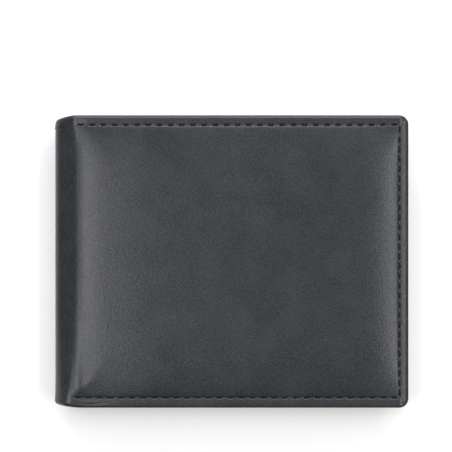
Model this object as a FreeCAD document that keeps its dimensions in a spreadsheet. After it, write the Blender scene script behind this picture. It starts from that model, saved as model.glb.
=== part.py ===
"""A bifold wallet, closed and lying on its back cover, in millimetres.

X runs from the fold to the free edge, Y up the wallet to the mouth of the banknote compartment and Z
out through the front cover. The origin lies under the middle of the closed wallet, on the face it
rests on.

Both halves are the same stack of leather and cloth, mirrored about the middle of the closed wallet.
Counted outwards from that middle: three stepped card pockets, the base panel that they are sewn to,
the cloth wall of the banknote compartment, the cloth lining of the cover, and the cover itself, which
is turned over at its edges and padded with a board and a foam pad. At the fold the cover, its lining
and the compartment wall run round concentric arcs, and each arc is split where the fold bends.
"""

import FreeCAD, Part
import math
import os

import Sketcher
from FreeCAD import Vector

SIZES = {
    "closed_width": 115,
    "closed_height": 95,
    "corner_radius": 3,
    "cover_leather": 0.8,
    "cover_hem_leather": 0.5,
    "cover_hem_width": 5,
    "cover_edge_roundness": 0.9,
    "lining_cloth": 0.3,
    "stitch_margin": 3.6,
    "crown": 1.7,
    "crown_shoulder": 14,
    "crown_corner": 3,
    "crown_corner_growth": 8.4,
    "crease_inset": 1.7,
    "crease_width": 0.3,
    "crease_depth": 0.15,
    "cover_board": 0.4,
    "board_inset": 2,
    "filling_clearance": 0.1,
    "facing_gap": 0.6,
    "pocket_leather": 0.6,
    "card_gap": 0.8,
    "slip_gap": 0.3,
    "panel_hem_leather": 0.3,
    "panel_hem_width": 4,
    "panel_edge_roundness": 0.6,
    "panel_edge_inset": 0.5,
    "banknote_mouth_drop": 5.5,
    "tuck_clearance": 0.2,
    "lower_pocket_mouth": 53.5,
    "pocket_step": 11.5,
    "pocket_depth": 50,
    "pocket_strip_height": 14,
    "pocket_waist": 8,
    "pocket_edge_inset": 1,
    "pocket_rim_width": 1.2,
    "fold_split_angle": 0.8,
}

ALL_CORNERS = ("lower_right", "upper_right", "upper_left", "lower_left")
FREE_CORNERS = ("lower_right", "upper_right")
POCKET_NAMES = ("top", "middle", "lower")
CROWN_STEPS = 4
FOLD_PART_ANGLE = 45
STEP_OVERLAP = 1.0


class Size:
    """A size with its number and with the expression that works it out from the sheet."""

    def __init__(self, number, text):
        self.number = number
        self.text = text

    @staticmethod
    def of(value):
        return value if isinstance(value, Size) else Size(value, repr(value))

    def __add__(self, other):
        other = Size.of(other)
        return Size(self.number + other.number, f"({self.text} + {other.text})")

    def __sub__(self, other):
        other = Size.of(other)
        return Size(self.number - other.number, f"({self.text} - {other.text})")

    def __mul__(self, factor):
        return Size(self.number * factor, f"({self.text} * ({factor!r}))")

    __radd__ = __add__
    __rmul__ = __mul__


doc = FreeCAD.newDocument("Wallet")
sheet = doc.addObject("Spreadsheet::Sheet", "Sizes")
for row, (alias, number) in enumerate(SIZES.items(), start=1):
    sheet.set(f"A{row}", alias)
    sheet.set(f"B{row}", str(number))
    sheet.setAlias(f"B{row}", alias)
doc.recompute()


def size(alias):
    return Size(SIZES[alias], f"Sizes.{alias}")


ZERO = Size(0, "0")
pocket_pitch = size("pocket_leather") + size("card_gap")
pocket_base_level = size("facing_gap") * 0.5
panel_level = pocket_base_level + pocket_pitch * len(POCKET_NAMES)
slip_level = panel_level + size("pocket_leather")
wall_level = slip_level + size("slip_gap")
panel_hem_level = wall_level + size("lining_cloth")
cover_hem_level = panel_hem_level + size("panel_hem_leather")
lining_level = cover_hem_level + size("cover_hem_leather")
cover_level = lining_level + size("lining_cloth")
fold_radius = cover_level + size("cover_leather")
cover_width = size("closed_width") - fold_radius
panel_height = size("closed_height") - size("banknote_mouth_drop") - size("panel_edge_inset")


def origin_part(body, role):
    return next(part for part in body.Origin.OriginFeatures if part.Role == role)


def new_body(name):
    """A body whose own origin lies on the centre line of the fold, at the wallet's lower edge."""
    body = doc.addObject("PartDesign::Body", name)
    body.Label = name
    place = {
        "x": fold_radius - size("closed_width") * 0.5,
        "y": size("closed_height") * -0.5,
        "z": fold_radius + size("crown"),
    }
    for axis, distance in place.items():
        body.setExpression(f"Placement.Base.{axis}", distance.text)
    return body


def new_sketch(body, name, plane, offset):
    """A sketch on one of the body's own planes, with its origin moved by the offset in that plane."""
    sketch = body.newObject("Sketcher::SketchObject", name)
    sketch.AttachmentSupport = [(origin_part(body, plane), "")]
    sketch.MapMode = "FlatFace"
    for axis, distance in zip("xyz", offset):
        sketch.setExpression(f"AttachmentOffset.Base.{axis}", distance.text)
    return sketch


def draw_rectangle(sketch, width, height, radius=None, rounded=()):
    """A rectangle with its lower left corner at the sketch's origin and the named corners rounded."""
    wide, high = width.number, height.number
    places = ((wide, 0), (wide, high), (0, high), (0, 0))
    corners = dict(zip(ALL_CORNERS, places))
    names = list(corners)
    cut = {name: radius.number if name in rounded else 0 for name in names}
    along = {"lower": (1, 0), "right": (0, 1), "upper": (-1, 0), "left": (0, -1)}
    lines = {}
    for index, (side, (step_x, step_y)) in enumerate(along.items()):
        start, end = names[index - 1], names[index]
        start_x, start_y = corners[start]
        end_x, end_y = corners[end]
        lines[side] = sketch.addGeometry(
            Part.LineSegment(
                Vector(start_x + step_x * cut[start], start_y + step_y * cut[start]),
                Vector(end_x - step_x * cut[end], end_y - step_y * cut[end]),
            )
        )
    for side in ("lower", "upper"):
        sketch.addConstraint(Sketcher.Constraint("Horizontal", lines[side]))
    for side in ("right", "left"):
        sketch.addConstraint(Sketcher.Constraint("Vertical", lines[side]))
    sides = list(lines)
    first_arc = None
    for index, name in enumerate(names):
        before, after = lines[sides[index]], lines[sides[(index + 1) % len(sides)]]
        if name not in rounded:
            sketch.addConstraint(Sketcher.Constraint("Coincident", before, 2, after, 1))
            continue
        corner_x, corner_y = corners[name]
        step_x, step_y = along[sides[index]]
        turn_x, turn_y = along[sides[(index + 1) % len(sides)]]
        centre = Vector(
            corner_x + (turn_x - step_x) * radius.number, corner_y + (turn_y - step_y) * radius.number
        )
        start_angle = math.radians(90 * (index - 1))
        circle = Part.Circle(centre, Vector(0, 0, 1), radius.number)
        arc = sketch.addGeometry(Part.ArcOfCircle(circle, start_angle, start_angle + math.pi / 2))
        sketch.addConstraint(Sketcher.Constraint("Tangent", before, 2, arc, 1))
        sketch.addConstraint(Sketcher.Constraint("Tangent", arc, 2, after, 1))
        if first_arc is None:
            first_arc = arc
            bind(sketch, "radius", Sketcher.Constraint("Radius", arc, radius.number), radius)
        else:
            sketch.addConstraint(Sketcher.Constraint("Equal", first_arc, arc))
    sketch.addConstraint(Sketcher.Constraint("PointOnObject", lines["left"], 1, -2))
    sketch.addConstraint(Sketcher.Constraint("PointOnObject", lines["lower"], 1, -1))
    across = Sketcher.Constraint("DistanceX", lines["left"], 1, lines["right"], 1, wide)
    bind(sketch, "width", across, width)
    upright = Sketcher.Constraint("DistanceY", lines["lower"], 1, lines["upper"], 1, high)
    bind(sketch, "height", upright, height)


def bind(sketch, name, constraint, distance):
    index = sketch.addConstraint(constraint)
    sketch.renameConstraint(index, name)
    sketch.setExpression(f"Constraints.{name}", distance.text)


def layer(body, name, side, corner, extent, level, thickness, cut=False, radius=None, rounded=()):
    """Adds, or cuts, a flat layer that starts at a level and thickens outwards.

    The corner is its lower left one, from the fold's centre line and the wallet's lower edge. Side is 1
    in the front half and -1 in the back half.
    """
    sketch = new_sketch(body, f"{name}_outline", "XY_Plane", (*corner, level * side))
    draw_rectangle(sketch, *extent, radius, rounded)
    feature = body.newObject("PartDesign::Pocket" if cut else "PartDesign::Pad", name)
    feature.Profile = sketch
    feature.setExpression("Length", thickness.text)
    feature.Reversed = side > 0 if cut else side < 0
    return feature


def fold_arc(body, name, side, low, height, radius, thickness, cut=False):
    """Adds, or cuts, a stretch of the fold: a sheet that runs round the fold's centre line.

    In a half it is the eighth of a turn next to the cover, and with side 0 it is the quarter between.
    """
    if side:
        across = radius if side > 0 else (radius + thickness) * -1
        sketch = new_sketch(body, f"{name}_section", "YZ_Plane", (low, across, ZERO))
        draw_rectangle(sketch, height, thickness)
    else:
        sketch = new_sketch(body, f"{name}_section", "XY_Plane", ((radius + thickness) * -1, low, ZERO))
        draw_rectangle(sketch, thickness, height)
    feature = body.newObject("PartDesign::Groove" if cut else "PartDesign::Revolution", name)
    feature.Profile = sketch
    feature.ReferenceAxis = (origin_part(body, "Y_Axis"), [""])
    angle = Size(FOLD_PART_ANGLE, repr(FOLD_PART_ANGLE)) - size("fold_split_angle")
    feature.setExpression("Angle", (angle if side else angle * 2).text)
    feature.Midplane = side == 0
    feature.Reversed = side > 0
    return feature


def crown_loft(body, name, side, level, inset, height, cut=False):
    """Adds, or cuts, the pillow of the padded cover: outlines that draw in as they rise to a flat top."""
    sketches = []
    for step in range(CROWN_STEPS + 1):
        turn = math.radians(90 * step / CROWN_STEPS)
        drawn_in = size("crown_shoulder") * round(1 - math.cos(turn), 6)
        rise = height * round(math.sin(turn), 6)
        edge = inset + drawn_in
        lower = size("stitch_margin") + edge
        sketch = new_sketch(body, f"{name}_ring_{step}", "XY_Plane", (edge, lower, (level + rise) * side))
        draw_rectangle(
            sketch,
            cover_width - edge - lower,
            size("closed_height") - lower * 2,
            size("crown_corner") + size("crown_corner_growth") * round(1 - math.cos(turn), 6),
            ALL_CORNERS,
        )
        sketches.append(sketch)
    feature = body.newObject("PartDesign::SubtractiveLoft" if cut else "PartDesign::AdditiveLoft", name)
    feature.Profile = sketches[0]
    feature.Sections = sketches[1:]
    feature.Ruled = True
    return feature


def round_edges(body, name, radius, wanted):
    """Rounds those edges of the body so far that the test picks."""
    doc.recompute()
    base = body.Tip
    edges = [f"Edge{i}" for i, edge in enumerate(base.Shape.Edges, start=1) if wanted(edge)]
    feature = body.newObject("PartDesign::Fillet", name)
    feature.Base = (base, edges)
    feature.setExpression("Radius", radius.text)
    return feature


def on_turned_edge(width, low, high, level):
    """Picks the long edges at a level round the free sides of a turned edge, and round its fold's ends."""

    def wanted(edge):
        box = edge.BoundBox
        near = 1e-4
        at_end = box.YLength < near and (abs(box.YMin - low) < near or abs(box.YMin - high) < near)
        if box.ZLength < near:
            return abs(abs(box.ZMin) - level) < near and (at_end or box.XMax > width - near)
        return at_end and hasattr(edge.Curve, "Radius") and abs(edge.Curve.Radius - level) < near

    return wanted


def turned_cover(name, side):
    """Cover leather of one half: a padded sheet turned over the lining at its three free sides."""
    body = new_body(name)
    corner = (ZERO, ZERO)
    extent = (cover_width, size("closed_height"))
    turned = fold_radius - cover_hem_level
    radius = size("corner_radius")
    layer(body, f"{name}_sheet", side, corner, extent, cover_hem_level, turned, False, radius, FREE_CORNERS)
    fold_arc(body, f"{name}_fold", side, ZERO, size("closed_height"), cover_hem_level, turned)
    height = size("closed_height").number
    wanted = on_turned_edge(cover_width.number, 0, height, fold_radius.number)
    round_edges(body, f"{name}_rounding", size("cover_edge_roundness"), wanted)
    hem, leather = size("cover_hem_width"), size("cover_leather")
    inside = (cover_width - hem, size("closed_height") - hem * 2)
    turned_leather = size("cover_hem_leather")
    layer(body, f"{name}_inside", side, (ZERO, hem), inside, cover_hem_level, turned_leather, True)
    tuck = (cover_width - leather, size("closed_height") - leather * 2)
    layer(body, f"{name}_tuck", side, (ZERO, leather), tuck, lining_level, size("lining_cloth"), True)
    fold_arc(body, f"{name}_fold_inside", side, hem, inside[1], cover_hem_level, turned_leather, True)
    fold_arc(body, f"{name}_fold_tuck", side, leather, tuck[1], lining_level, size("lining_cloth"), True)
    crown_loft(body, f"{name}_crown", side, fold_radius, ZERO, size("crown"))
    crown_loft(body, f"{name}_padding_space", side, cover_level, leather, size("crown"), True)
    edge_crease(body, f"{name}_crease", side)
    return body


def edge_crease(body, name, side):
    """A shallow line pressed into the cover between the stitching and the turned edge."""
    inset, wide = size("crease_inset"), size("crease_width")
    sketch = new_sketch(body, f"{name}_line", "XY_Plane", (ZERO, inset, fold_radius * side))
    draw_crease(sketch, cover_width - inset, size("closed_height") - inset * 2, wide)
    groove = body.newObject("PartDesign::Pocket", name)
    groove.Profile = sketch
    groove.setExpression("Length", size("crease_depth").text)
    groove.Reversed = side < 0


def draw_crease(sketch, width, height, wide):
    """Three straight bands, open at the fold, between an outer and an inner run."""
    w, h, t = width.number, height.number, wide.number
    points = [(0, 0), (w, 0), (w, h), (0, h), (0, h - t), (w - t, h - t), (w - t, t), (0, t)]
    lines = []
    for index, (x, y) in enumerate(points):
        next_x, next_y = points[(index + 1) % len(points)]
        lines.append(sketch.addGeometry(Part.LineSegment(Vector(x, y), Vector(next_x, next_y))))
    for index, line in enumerate(lines):
        kind = "Vertical" if index % 2 else "Horizontal"
        sketch.addConstraint(Sketcher.Constraint(kind, line))
        following = lines[(index + 1) % len(lines)]
        sketch.addConstraint(Sketcher.Constraint("Coincident", line, 2, following, 1))
    sketch.addConstraint(Sketcher.Constraint("Coincident", lines[0], 1, -1, 1))
    sketch.addConstraint(Sketcher.Constraint("PointOnObject", lines[4], 1, -2))
    bind(sketch, "width", Sketcher.Constraint("DistanceX", lines[0], 1, lines[0], 2, w), width)
    bind(sketch, "height", Sketcher.Constraint("DistanceY", lines[1], 1, lines[1], 2, h), height)
    bind(sketch, "lower_band", Sketcher.Constraint("DistanceY", lines[0], 1, lines[7], 1, t), wide)
    bind(sketch, "upper_band", Sketcher.Constraint("DistanceY", lines[4], 1, lines[2], 2, t), wide)
    bind(sketch, "free_band", Sketcher.Constraint("DistanceX", lines[5], 1, lines[1], 1, t), wide)


def foam_pad(name, side):
    """Foam under the cover leather, hollowed underneath for the board it is glued over."""
    body = new_body(name)
    inset = size("cover_leather") + size("filling_clearance")
    crown_loft(body, f"{name}_pillow", side, cover_level, inset, size("crown") - size("filling_clearance"))
    corner, extent = board_outline(size("filling_clearance"))
    depth = size("cover_board") + size("filling_clearance")
    layer(body, f"{name}_seat", side, corner, extent, cover_level, depth, True)
    return body


def board_outline(clearance):
    """Corner and extent of the board, grown by a clearance all round."""
    edge = size("cover_leather") + size("board_inset") - clearance
    lower = size("stitch_margin") + edge
    return (edge, lower), (cover_width - edge - lower, size("closed_height") - lower * 2)


def cover_board(name, side):
    """Thin board that keeps the cover flat behind the foam."""
    body = new_body(name)
    corner, extent = board_outline(ZERO)
    layer(body, f"{name}_sheet", side, corner, extent, cover_level, size("cover_board"))
    return body


def cover_lining(name, side):
    """Cloth on the inside of the cover, tucked under the turned edge, with its stretch of the fold."""
    body = new_body(name)
    low = size("cover_leather") + size("tuck_clearance")
    extent = (cover_width - low, size("closed_height") - low * 2)
    layer(body, f"{name}_sheet", side, (ZERO, low), extent, lining_level, size("lining_cloth"))
    fold_arc(body, f"{name}_fold", side, low, extent[1], lining_level, size("lining_cloth"))
    return body


def wall_rows():
    """Lower edge and height of the banknote compartment's wall, inside the base panel's turned edge."""
    tuck = size("pocket_leather") + size("tuck_clearance")
    return size("panel_edge_inset") + tuck, panel_height - tuck * 2


def banknote_wall(name, side):
    """Cloth wall between the banknotes and the card pockets, with its stretch of the fold."""
    body = new_body(name)
    low, height = wall_rows()
    width = cover_width - size("panel_edge_inset") - size("pocket_leather") - size("tuck_clearance")
    layer(body, f"{name}_sheet", side, (ZERO, low), (width, height), wall_level, size("lining_cloth"))
    fold_arc(body, f"{name}_fold", side, low, height, wall_level, size("lining_cloth"))
    return body


def base_panel(name, side):
    """Leather panel that carries the card pockets, turned over the banknote wall at three sides."""
    body = new_body(name)
    inset = size("panel_edge_inset")
    width = cover_width - inset
    turned = cover_hem_level - panel_level
    radius = size("corner_radius") - inset
    extent = (width, panel_height)
    corner = (ZERO, inset)
    layer(body, f"{name}_sheet", side, corner, extent, panel_level, turned, False, radius, FREE_CORNERS)
    low, high = inset.number, (inset + panel_height).number
    wanted = on_turned_edge(width.number, low, high, panel_level.number)
    round_edges(body, f"{name}_rounding", size("panel_edge_roundness"), wanted)
    leather, hem = size("pocket_leather"), size("panel_hem_width")
    slot = (width - leather, panel_height - leather * 2)
    slot_depth = panel_hem_level - slip_level
    layer(body, f"{name}_slot", side, (ZERO, inset + leather), slot, slip_level, slot_depth, True)
    inside = (width - hem, panel_height - hem * 2)
    turned_leather = size("panel_hem_leather")
    layer(body, f"{name}_inside", side, (ZERO, inset + hem), inside, panel_hem_level, turned_leather, True)
    return body


def card_pocket(name, side, order):
    """One stepped card pocket, with its side and lower edges turned down to what it is sewn to.

    The two upper pockets are T shaped: a full-width strip that shows, and a narrower leg behind the
    pocket below. The lowest pocket is plain and reaches the wallet's lower edge.
    """
    body = new_body(name)
    lowest = len(POCKET_NAMES) - 1
    level = pocket_base_level + pocket_pitch * (lowest - order)
    mouth = size("lower_pocket_mouth") + size("pocket_step") * (lowest - order)
    leather, rim = size("pocket_leather"), size("pocket_rim_width")
    under = level + leather
    to_panel = panel_level - under
    left = size("pocket_edge_inset")
    width = cover_width - left * 2
    if order == lowest:
        low = size("pocket_edge_inset")
        radius = size("corner_radius") - size("pocket_edge_inset")
        front = (width, mouth - low)
        rounded = ("lower_right",)
        layer(body, f"{name}_front", side, (left, low), front, level, leather, False, radius, rounded)
        foot = (left + radius, low), (width - radius * 2, rim)
        rim_low = low + radius
    else:
        low = mouth - size("pocket_strip_height")
        layer(body, f"{name}_strip", side, (left, low), (width, mouth - low), level, leather)
        waist = size("pocket_waist")
        leg_low = mouth - size("pocket_depth")
        leg = (width - waist * 2, low - leg_low + STEP_OVERLAP)
        layer(body, f"{name}_leg", side, (left + waist, leg_low), leg, level, leather)
        foot = (left + waist, leg_low), (width - waist * 2, rim)
        rim_low = low
    layer(body, f"{name}_foot_rim", side, *foot, under, to_panel)
    covered = size("pocket_strip_height") - size("pocket_step") if order else mouth - rim_low
    for rim_name, start in (("fold_rim", left), ("free_rim", left + width - rim)):
        near_mouth = (rim, covered)
        layer(body, f"{name}_{rim_name}", side, (start, mouth - covered), near_mouth, under, size("card_gap"))
        if order:
            deep = (rim, mouth - covered - size("tuck_clearance") - rim_low)
            layer(body, f"{name}_{rim_name}_deep", side, (start, rim_low), deep, under, to_panel)
    return body


def fold_cover(name):
    """Cover leather round the back of the fold, turned over the lining at both ends."""
    body = new_body(name)
    height = size("closed_height")
    hem, leather = size("cover_hem_width"), size("cover_leather")
    turned = fold_radius - cover_hem_level
    fold_arc(body, f"{name}_sheet", 0, ZERO, height, cover_hem_level, turned)
    wanted = on_turned_edge(cover_width.number, 0, height.number, fold_radius.number)
    round_edges(body, f"{name}_rounding", size("cover_edge_roundness"), wanted)
    turned_leather = size("cover_hem_leather")
    fold_arc(body, f"{name}_inside", 0, hem, height - hem * 2, cover_hem_level, turned_leather, True)
    tuck_height = height - leather * 2
    fold_arc(body, f"{name}_tuck", 0, leather, tuck_height, lining_level, size("lining_cloth"), True)
    return body


def fold_lining(name):
    """Cloth inside the fold, tucked under the turned ends of the cover leather."""
    body = new_body(name)
    low = size("cover_leather") + size("tuck_clearance")
    height = size("closed_height") - low * 2
    fold_arc(body, f"{name}_sheet", 0, low, height, lining_level, size("lining_cloth"))
    return body


def fold_gutter(name):
    """The banknote wall's stretch round the fold, which shows between the pockets when open."""
    body = new_body(name)
    low, height = wall_rows()
    fold_arc(body, f"{name}_sheet", 0, low, height, wall_level, size("lining_cloth"))
    return body


def half(prefix, side):
    """All the layers of one half, from the cover inwards."""
    turned_cover(f"{prefix}_cover", side)
    foam_pad(f"{prefix}_foam_pad", side)
    cover_board(f"{prefix}_cover_board", side)
    cover_lining(f"{prefix}_cover_lining", side)
    banknote_wall(f"{prefix}_banknote_wall", side)
    base_panel(f"{prefix}_base_panel", side)
    for order, which in enumerate(POCKET_NAMES):
        card_pocket(f"{prefix}_{which}_card_pocket", side, order)


def check(bodies):
    """Stops on a failed feature, a cut that cuts nothing, or a sub-part that isn't valid."""
    for thing in doc.Objects:
        if "Invalid" in thing.State or "Error" in thing.State:
            raise RuntimeError(f"{thing.Name} failed: {thing.State}")
        if thing.TypeId in ("PartDesign::Pocket", "PartDesign::Groove", "PartDesign::SubtractiveLoft"):
            if thing.Shape.Volume > thing.BaseFeature.Shape.Volume - 1e-3:
                raise RuntimeError(f"{thing.Name} cuts nothing")
    for body in bodies:
        if body.Shape.isNull() or not body.Shape.isValid():
            raise RuntimeError(f"{body.Label} has no valid shape")
        if len(body.Shape.Solids) != 1:
            raise RuntimeError(f"{body.Label} has {len(body.Shape.Solids)} solids")


half("front", 1)
half("back", -1)
fold_cover("fold_cover")
fold_lining("fold_lining")
fold_gutter("fold_gutter")
doc.recompute()

bodies = [thing for thing in doc.Objects if thing.TypeId == "PartDesign::Body"]
check(bodies)
os.makedirs("parts", exist_ok=True)
for body in bodies:
    body.Shape.exportStep(f"parts/{body.Label}.step")
    box = body.Shape.BoundBox
    print(
        f"{body.Label:28s} volume {body.Shape.Volume:9.1f}  x {box.XMin:7.2f} {box.XMax:7.2f}"
        f"  y {box.YMin:7.2f} {box.YMax:7.2f}  z {box.ZMin:6.2f} {box.ZMax:6.2f}"
    )
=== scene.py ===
"""The looks of a bifold wallet: smooth black leather, cloth linings, card pockets and saddle stitching.

Every layer is one closed skin, shaped from a flat grid: its columns run from the middle of the fold to
the free edge, and its rows up the wallet. In the fold the columns turn round the centre line of the
closed wallet, so the skins of the two halves meet at the middle of the fold.
"""

import math

import bmesh
import bpy
from mathutils import Matrix, Vector


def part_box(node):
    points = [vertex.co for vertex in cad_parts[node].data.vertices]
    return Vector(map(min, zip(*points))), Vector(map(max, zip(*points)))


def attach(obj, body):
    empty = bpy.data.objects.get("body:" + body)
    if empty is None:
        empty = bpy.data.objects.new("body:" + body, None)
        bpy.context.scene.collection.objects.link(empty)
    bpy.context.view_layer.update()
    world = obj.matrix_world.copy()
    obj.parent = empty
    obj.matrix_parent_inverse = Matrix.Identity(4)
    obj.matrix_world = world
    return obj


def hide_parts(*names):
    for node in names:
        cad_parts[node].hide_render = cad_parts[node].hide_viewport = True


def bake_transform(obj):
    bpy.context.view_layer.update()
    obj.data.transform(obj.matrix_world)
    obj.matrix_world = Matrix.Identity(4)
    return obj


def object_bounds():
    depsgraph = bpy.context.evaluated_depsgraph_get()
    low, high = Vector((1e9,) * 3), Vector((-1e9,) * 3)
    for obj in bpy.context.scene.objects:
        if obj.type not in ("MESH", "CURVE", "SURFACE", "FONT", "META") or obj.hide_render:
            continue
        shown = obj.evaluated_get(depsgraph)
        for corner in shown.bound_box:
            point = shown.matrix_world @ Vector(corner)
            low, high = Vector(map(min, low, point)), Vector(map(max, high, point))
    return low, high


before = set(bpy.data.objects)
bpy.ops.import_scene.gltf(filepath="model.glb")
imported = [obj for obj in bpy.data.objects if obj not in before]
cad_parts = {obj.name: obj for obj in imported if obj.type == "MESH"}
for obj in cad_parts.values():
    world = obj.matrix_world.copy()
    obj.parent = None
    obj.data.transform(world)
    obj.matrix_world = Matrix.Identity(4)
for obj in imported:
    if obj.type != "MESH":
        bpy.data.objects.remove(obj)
cad_low, cad_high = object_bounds()


def mm(length):
    """A length in millimetres as metres."""
    return length / 1000


# Sizes of the real wallet that the skins share with its solids
OUTER_LEATHER = mm(0.8)
TURNED_LEATHER = mm(0.5)
TURNED_WIDTH = mm(5)
CLOTH = mm(0.3)
POCKET_LEATHER = mm(0.6)
CARD_GAP = mm(0.8)
SLIP_GAP = mm(0.3)
PANEL_TURNED_LEATHER = mm(0.3)
PANEL_TURNED_WIDTH = mm(4)
FACING_GAP = mm(0.6)
CROWN = mm(1.7)
CORNER = mm(3)
POCKET_NAMES = ("top", "middle", "lower")

# Levels of the layers, counted outwards from the middle of the closed wallet
POCKET_LEVEL = FACING_GAP / 2
POCKET_PITCH = POCKET_LEATHER + CARD_GAP
PANEL_LEVEL = POCKET_LEVEL + POCKET_PITCH * len(POCKET_NAMES)
SLIP_LEVEL = PANEL_LEVEL + POCKET_LEATHER
WALL_LEVEL = SLIP_LEVEL + SLIP_GAP
PANEL_TURNED_LEVEL = WALL_LEVEL + CLOTH
TURNED_LEVEL = PANEL_TURNED_LEVEL + PANEL_TURNED_LEATHER
LINING_LEVEL = TURNED_LEVEL + TURNED_LEATHER
FOLD_RADIUS = LINING_LEVEL + CLOTH + OUTER_LEATHER

# Places in the frame
FOLD_X = cad_low.x + FOLD_RADIUS
FREE_X = cad_high.x
LOW_Y = cad_low.y
HIGH_Y = cad_high.y
MIDDLE_Z = (cad_low.z + cad_high.z) / 2
COVER_WIDTH = FREE_X - FOLD_X
QUARTER = math.pi / 2

# The seams and the crease line of the cover
SEAM_INSET = mm(3.2)
SIDE_SEAM_INSET = mm(2.9)
STITCH_PITCH = mm(3.6)
SIDE_PITCH = mm(3.15)
STITCH_LENGTH = mm(2.2)
THREAD = mm(0.5)
FIRST_STITCH = mm(-0.7)
LOWER_FIRST_STITCH = mm(-1.8)
CREASE_INSET = mm(1.1)

HALVES = {"front": 1, "back": -1}


def smooth(value):
    """0 below 0, 1 above 1, and a smooth step between."""
    value = min(1.0, max(0.0, value))
    return value * value * (3 - 2 * value)


def bump(distance, width):
    """1 at distance 0, falling smoothly to 0 at the width to either side."""
    return smooth(1 - abs(distance) / width)


def stations(*runs):
    """Positions along one direction of a grid, from runs of (start, end, greatest step)."""
    places = [runs[0][0]]
    for start, end, step in runs:
        count = max(1, math.ceil((end - start) / step - 1e-6))
        places += [start + (end - start) * (i + 1) / count for i in range(count)]
    return places


def place(side, along, y, level):
    """The point of a half at a distance along the skin, where below 0 is round the fold."""
    if along >= 0:
        return drawn_in(Vector((FOLD_X + along, y, MIDDLE_Z + side * level)))
    turn = QUARTER + along / FOLD_RADIUS
    point = Vector((FOLD_X - level * math.cos(turn), y, MIDDLE_Z + side * level * math.sin(turn)))
    return drawn_in(point)


# How the leather's ends curl in round the fold: how far, over what width, and how suddenly
UPPER_CURL = (mm(1.5), mm(7), 1.6)
LOWER_CURL = (mm(1.15), mm(9), 1.8)
CURL_MARGIN = mm(6)


def drawn_in(point):
    """The leather's two ends curl in where they go round the fold, the upper one a little more."""
    upper = point.y > 0
    reach, width, power = UPPER_CURL if upper else LOWER_CURL
    from_end = HIGH_Y - point.y if upper else point.y - LOW_Y
    pull = reach * max(0.0, 1 - (point.x - cad_low.x) / width) ** power
    pull *= smooth(1 - from_end / CURL_MARGIN)
    point.y += -pull if upper else pull
    return point


def edge_distances(along, y, columns, rows):
    """How far a point lies inside each free side of a layer. One that runs on round the fold has three."""
    sides = [columns[-1] - along, y - rows[0], rows[-1] - y]
    return sides + [along - columns[0]] if columns[0] >= 0 else sides


def rounded(along, y, width, low, high, radius):
    """Moves a grid's point so that the free corners of its outline are round."""
    across = along - (width - radius)
    up = max(y - (high - radius), (low + radius) - y)
    if radius <= 0 or across <= 0 or up <= 0:
        return along, y
    reach, turn = max(across, up), math.atan2(up, across)
    new_y = reach * math.sin(turn)
    return width - radius + reach * math.cos(turn), high - radius + new_y if y > 0 else low + radius - new_y


def skin(name, side, columns, rows, outer, inner, radius=0.0, edge=0.0, keep=None):
    """A closed layer between two levels, from a flat grid that is extruded into a second one.

    Outer and inner give the level at a point, from its distance along, its y, and its distance inside
    the nearest free side. Edge is how far in from the free sides the two faces curve to meet, and keep
    says which parts of the grid the layer has.
    """
    bm = bmesh.new()
    column_of = bm.verts.layers.int.new("column")
    row_of = bm.verts.layers.int.new("row")
    last_column, last_row = len(columns) - 1, len(rows) - 1
    for vert in bmesh.ops.create_grid(bm, x_segments=last_column, y_segments=last_row, size=1)["verts"]:
        vert[column_of] = round((vert.co.x + 1) / 2 * last_column)
        vert[row_of] = round((vert.co.y + 1) / 2 * last_row)
    if keep:
        outside = []
        for face in bm.faces:
            along = sum(columns[vert[column_of]] for vert in face.verts) / 4
            if not keep(along, sum(rows[vert[row_of]] for vert in face.verts) / 4):
                outside.append(face)
        bmesh.ops.delete(bm, geom=outside, context="FACES")
    extruded = bmesh.ops.extrude_face_region(bm, geom=bm.faces[:])["geom"]
    second = {vert for vert in extruded if isinstance(vert, bmesh.types.BMVert)}
    for vert in bm.verts:
        along, y = columns[vert[column_of]], rows[vert[row_of]]
        inside = min(edge_distances(along, y, columns, rows))
        level = (outer if vert in second else inner)(along, y, inside)
        if inside < edge:
            middle = (outer(along, y, edge) + inner(along, y, edge)) / 2
            level = middle + (level - middle) * math.sqrt(max(0.0, 1 - (1 - inside / edge) ** 2))
        along, y = rounded(along, y, columns[-1], rows[0], rows[-1], radius)
        vert.co = place(side, along, y, level)
    bm.verts.layers.int.remove(bm.verts.layers.int["column"])
    bm.verts.layers.int.remove(bm.verts.layers.int["row"])
    bmesh.ops.remove_doubles(bm, verts=bm.verts[:], dist=mm(0.001))
    bmesh.ops.recalc_face_normals(bm, faces=bm.faces[:])
    mesh = bpy.data.meshes.new(name)
    bm.to_mesh(mesh)
    bm.free()
    return finished(name, mesh)


def finished(name, mesh, angle=40):
    """An object of the mesh in the scene, shaded smooth except where faces meet at more than the angle."""
    piece = bpy.data.objects.new(name, mesh)
    bpy.context.scene.collection.objects.link(piece)
    mesh.shade_smooth()
    mesh.set_sharp_from_angle(angle=math.radians(angle))
    return piece


# The padded covers

# The pad's shoulders: where they start, how wide they are, and how they change near the fold
SEAM_MARGIN = mm(3.4)
SIDE_MARGIN = mm(3.1)
SHOULDER = mm(20)
UPPER_SHOULDER_AT_FOLD = mm(12)
LOWER_SHOULDER_AT_FOLD = mm(2.8)
SHOULDER_EDGE = mm(0.9)
EDGE_SHARE = 0.08
SHOULDER_ROUNDNESS = 3.0
ROUNDNESS_LOST_AT_FOLD = 1.7
FOLD_ZONE = mm(14)
PINCH_START = mm(-2.8)
PINCH_WIDTH = mm(3.2)
CORNER_PRESSED = mm(0.4)

# The fold between the pads: flattened where it meets them, and fullest at a share of the way there
FOLD_FLATTENING = mm(0.45)
FOLD_FULLNESS = mm(0.4)
FULLEST = 0.42
FLATTEST = mm(-3.5)
FLAT_FADE = mm(7.5)
FOLD_MIDDLE = -QUARTER * FOLD_RADIUS

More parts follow.
